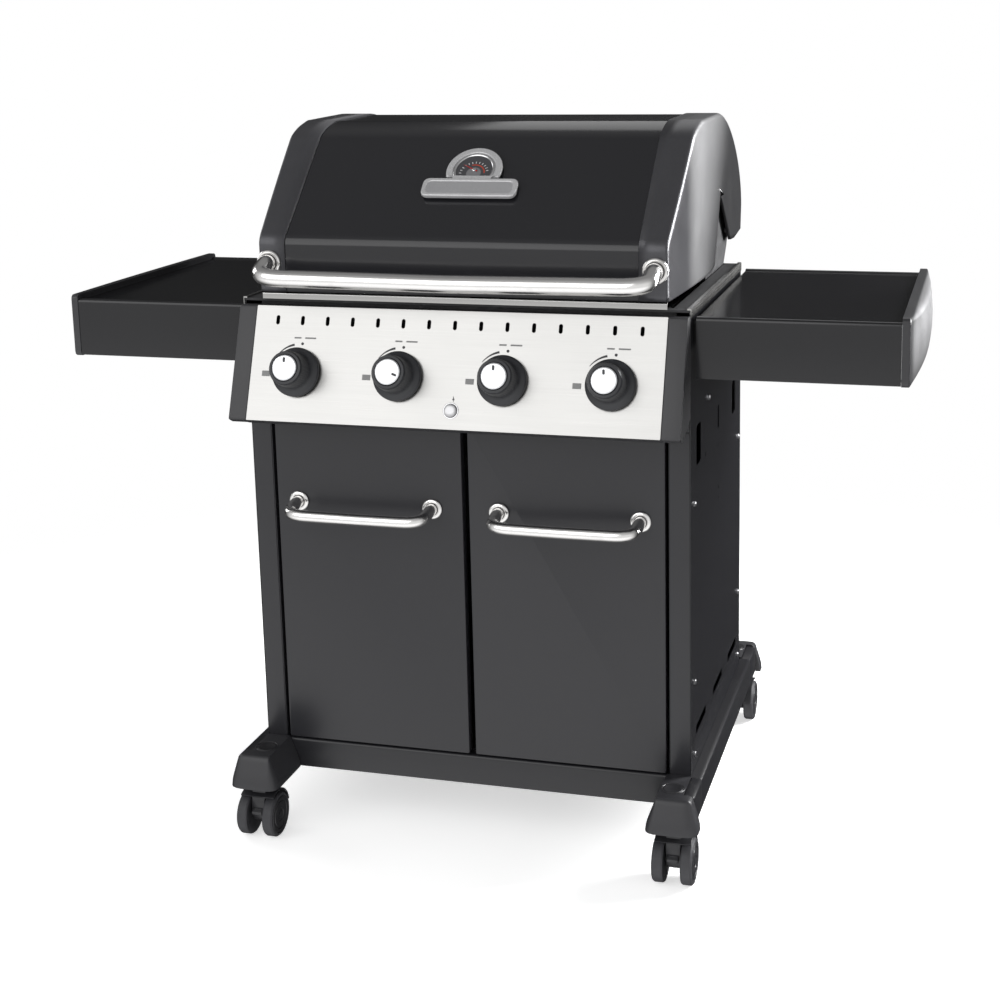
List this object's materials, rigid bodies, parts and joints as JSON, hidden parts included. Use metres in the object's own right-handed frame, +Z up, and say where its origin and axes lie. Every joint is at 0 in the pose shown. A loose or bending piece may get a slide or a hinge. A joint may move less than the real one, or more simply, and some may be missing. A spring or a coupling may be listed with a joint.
{
  "type": "gas barbecue grill",
  "caption": "Free-standing gas barbecue on a cabinet cart: hinged lid with cast ends, sloping control fascia with knobs, side shelves, doors and braked casters.",
  "frame": {"origin": "centre of the footprint, on the ground under the casters", "axes": "+X to the right as seen from the front, +Y from the doors to the back, +Z up"},
  "size_m": [1.444, 0.7533, 1.196],
  "materials": {
    "black_enamel": "semi-gloss baked enamel",
    "charcoal_casting": "die casting with satin charcoal paint, finely grained",
    "charcoal_plastic": "satin moulding with a fine grain",
    "moulded_plastic": "matt moulding",
    "caster_plastic": "matt nylon",
    "stainless": "brushed along the width",
    "chrome": "polished tube",
    "knob_plastic": "matt black grip with a satin cap",
    "satin_button": "satin silver",
    "brass": "machined",
    "cast_iron": "porcelain coated iron",
    "firebox_casting": "casting with a matt heat-proof coating",
    "aluminium": "plain mill finish"
  },
  "bodies": {
    "cart": {"base_front_rail": "black_enamel", "base_rear_rail": "black_enamel", "base_side_rail_left": "black_enamel", "base_side_rail_right": "black_enamel", "side_panel_left": "black_enamel", "side_panel_right": "black_enamel", "bottom_shelf": "black_enamel", "back_panel": "black_enamel", "side_shelf_left": "black_enamel", "side_shelf_right": "black_enamel", "control_housing": "charcoal_plastic", "shelf_end_cap_left": "charcoal_plastic", "shelf_end_cap_right": "charcoal_plastic", "foot_shoe_front_left": "moulded_plastic", "foot_shoe_front_right": "moulded_plastic", "foot_shoe_rear_left": "moulded_plastic", "foot_shoe_rear_right": "moulded_plastic", "control_fascia": "stainless", "firebox_front_lip": "stainless", "heat_tamer": "stainless", "warming_rack": "chrome", "gas_manifold": "brass", "cooking_grid_left": "cast_iron", "cooking_grid_right": "cast_iron", "firebox": "firebox_casting", "lid_hinge_pin_left": "aluminium", "lid_hinge_pin_right": "aluminium", "burner_1": "aluminium", "burner_2": "aluminium", "burner_3": "aluminium", "burner_4": "aluminium"},
    "lid": {"lid_skin": "black_enamel", "lid_end_left": "charcoal_casting", "lid_end_right": "charcoal_casting", "lid_handle": "chrome", "temperature_gauge": "chrome"},
    "door_left": {"door_left": "black_enamel", "door_handle_left": "chrome"},
    "door_right": {"door_right": "black_enamel", "door_handle_right": "chrome"},
    "valve_1": {"valve_stem_1": "brass"},
    "knob_1": {"control_knob_1": "knob_plastic"},
    "valve_2": {"valve_stem_2": "brass"},
    "knob_2": {"control_knob_2": "knob_plastic"},
    "valve_3": {"valve_stem_3": "brass"},
    "knob_3": {"control_knob_3": "knob_plastic"},
    "valve_4": {"valve_stem_4": "brass"},
    "knob_4": {"control_knob_4": "knob_plastic"},
    "igniter": {"igniter_button": "satin_button"},
    "caster_front_left": {"caster_fork_front_left": "caster_plastic"},
    "wheels_front_left": {"caster_wheels_front_left": "caster_plastic"},
    "caster_front_right": {"caster_fork_front_right": "caster_plastic"},
    "wheels_front_right": {"caster_wheels_front_right": "caster_plastic"},
    "caster_rear_left": {"caster_fork_rear_left": "caster_plastic"},
    "wheels_rear_left": {"caster_wheels_rear_left": "caster_plastic"},
    "caster_rear_right": {"caster_fork_rear_right": "caster_plastic"},
    "wheels_rear_right": {"caster_wheels_rear_right": "caster_plastic"},
    "brake_left": {"caster_brake_lever_left": "caster_plastic"},
    "brake_right": {"caster_brake_lever_right": "caster_plastic"},
    "tray": {"grease_tray": "aluminium"}
  },
  "joints": [
    {"name": "lid_hinge", "type": "hinge", "parent": "cart", "child": "lid", "pos_m": [0, 0.248, 0.978], "axis": [-1, 0, 0], "range_deg": [0, 80]},
    {"name": "door_left_hinge", "type": "hinge", "parent": "cart", "child": "door_left", "pos_m": [-0.322, -0.253, 0.43], "axis": [0, 0, -1], "range_deg": [0, 90]},
    {"name": "door_right_hinge", "type": "hinge", "parent": "cart", "child": "door_right", "pos_m": [0.322, -0.253, 0.43], "axis": [0, 0, 1], "range_deg": [0, 90]},
    {"name": "valve_1_push", "type": "slide", "parent": "cart", "child": "valve_1", "axis": [0, 0.9352, -0.354], "range_m": [0, 0.004], "stiffness_N_per_m": 600},
    {"name": "knob_1_turn", "type": "hinge", "parent": "valve_1", "child": "knob_1", "pos_m": [-0.2596, -0.31661, 0.807], "axis": [0, -0.9352, 0.354], "range_deg": [0, 180]},
    {"name": "valve_2_push", "type": "slide", "parent": "cart", "child": "valve_2", "axis": [0, 0.9352, -0.354], "range_m": [0, 0.004], "stiffness_N_per_m": 600},
    {"name": "knob_2_turn", "type": "hinge", "parent": "valve_2", "child": "knob_2", "pos_m": [-0.0864, -0.31661, 0.807], "axis": [0, -0.9352, 0.354], "range_deg": [0, 180]},
    {"name": "valve_3_push", "type": "slide", "parent": "cart", "child": "valve_3", "axis": [0, 0.9352, -0.354], "range_m": [0, 0.004], "stiffness_N_per_m": 600},
    {"name": "knob_3_turn", "type": "hinge", "parent": "valve_3", "child": "knob_3", "pos_m": [0.0864, -0.31661, 0.807], "axis": [0, -0.9352, 0.354], "range_deg": [0, 180]},
    {"name": "valve_4_push", "type": "slide", "parent": "cart", "child": "valve_4", "axis": [0, 0.9352, -0.354], "range_m": [0, 0.004], "stiffness_N_per_m": 600},
    {"name": "knob_4_turn", "type": "hinge", "parent": "valve_4", "child": "knob_4", "pos_m": [0.2596, -0.31661, 0.807], "axis": [0, -0.9352, 0.354], "range_deg": [0, 180]},
    {"name": "igniter_push", "type": "slide", "parent": "cart", "child": "igniter", "axis": [0, 0.9352, -0.354], "range_m": [0, 0.004], "stiffness_N_per_m": 300},
    {"name": "caster_front_left_swivel", "type": "hinge", "parent": "cart", "child": "caster_front_left", "pos_m": [-0.358, -0.312, 0.11], "axis": [0, 0, 1], "continuous": true},
    {"name": "wheels_front_left_spin", "type": "hinge", "parent": "caster_front_left", "child": "wheels_front_left", "pos_m": [-0.358, -0.328, 0.0375], "axis": [1, 0, 0], "continuous": true},
    {"name": "caster_front_right_swivel", "type": "hinge", "parent": "cart", "child": "caster_front_right", "pos_m": [0.358, -0.312, 0.11], "axis": [0, 0, 1], "continuous": true},
    {"name": "wheels_front_right_spin", "type": "hinge", "parent": "caster_front_right", "child": "wheels_front_right", "pos_m": [0.358, -0.328, 0.0375], "axis": [1, 0, 0], "continuous": true},
    {"name": "caster_rear_left_swivel", "type": "hinge", "parent": "cart", "child": "caster_rear_left", "pos_m": [-0.358, 0.312, 0.11], "axis": [0, 0, 1], "continuous": true},
    {"name": "wheels_rear_left_spin", "type": "hinge", "parent": "caster_rear_left", "child": "wheels_rear_left", "pos_m": [-0.358, 0.328, 0.0375], "axis": [1, 0, 0], "continuous": true},
    {"name": "caster_rear_right_swivel", "type": "hinge", "parent": "cart", "child": "caster_rear_right", "pos_m": [0.358, 0.312, 0.11], "axis": [0, 0, 1], "continuous": true},
    {"name": "wheels_rear_right_spin", "type": "hinge", "parent": "caster_rear_right", "child": "wheels_rear_right", "pos_m": [0.358, 0.328, 0.0375], "axis": [1, 0, 0], "continuous": true},
    {"name": "brake_left_press", "type": "hinge", "parent": "caster_front_left", "child": "brake_left", "pos_m": [-0.358, -0.338, 0.054], "axis": [1, 0, 0], "range_deg": [0, 6]},
    {"name": "brake_right_press", "type": "hinge", "parent": "caster_front_right", "child": "brake_right", "pos_m": [0.358, -0.338, 0.054], "axis": [1, 0, 0], "range_deg": [0, 6]},
    {"name": "tray_slide", "type": "slide", "parent": "cart", "child": "tray", "axis": [0, 1, 0], "range_m": [0, 0.3]}
  ]
}
